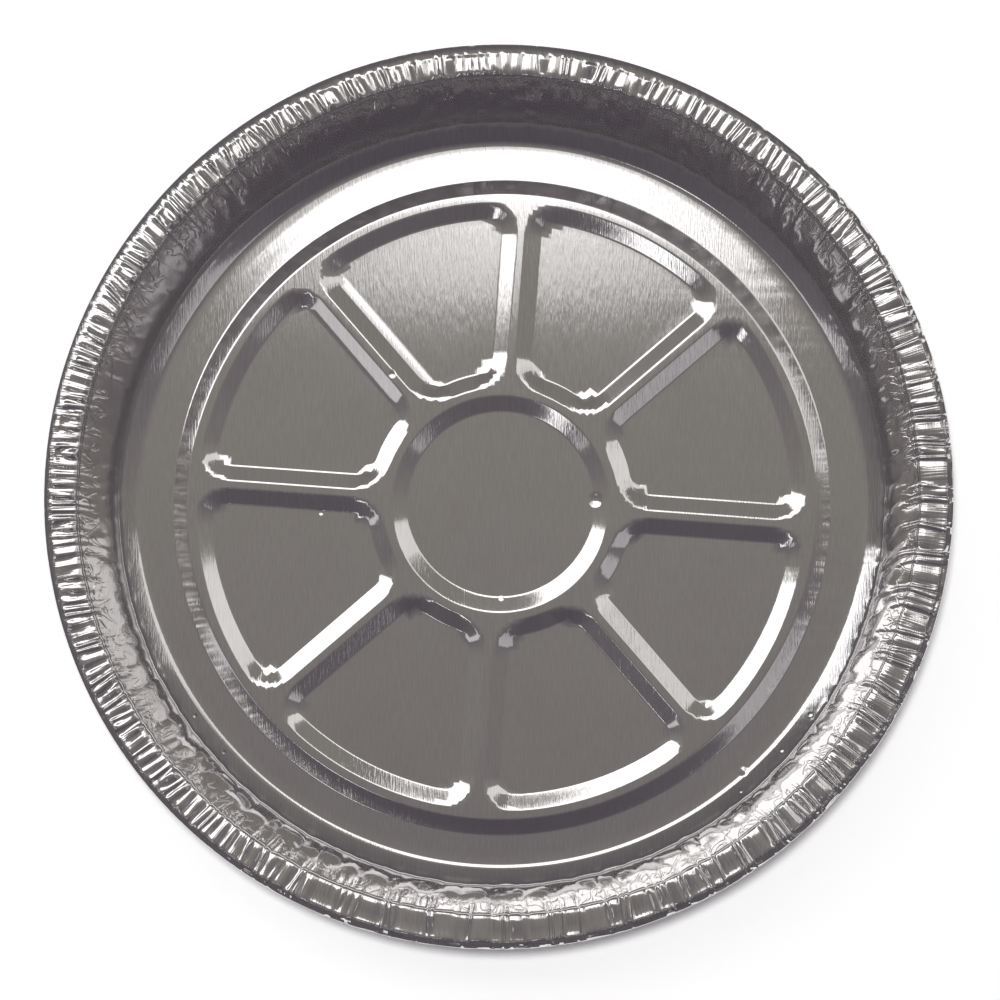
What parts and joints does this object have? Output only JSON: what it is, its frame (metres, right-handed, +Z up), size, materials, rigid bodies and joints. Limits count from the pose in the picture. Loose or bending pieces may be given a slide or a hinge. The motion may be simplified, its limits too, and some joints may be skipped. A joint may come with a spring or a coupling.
{
  "type": "foil pie tin",
  "caption": "Round pressed-foil pie tin with a pleated flange, a curled edge, a wrinkled sloping wall and a base embossed with a hub, spokes and wedge panels.",
  "frame": {"origin": "middle of the underside, on the surface that the tin stands on", "axes": "+Z up through the middle of the tin, out of its mouth; +X along one spoke of the base"},
  "size_m": [0.2288, 0.2288, 0.027],
  "materials": {
    "foil": "bright rolled foil with a fine grain"
  },
  "bodies": {
    "root": {"pie_tin": "foil"}
  },
  "joints": []
}
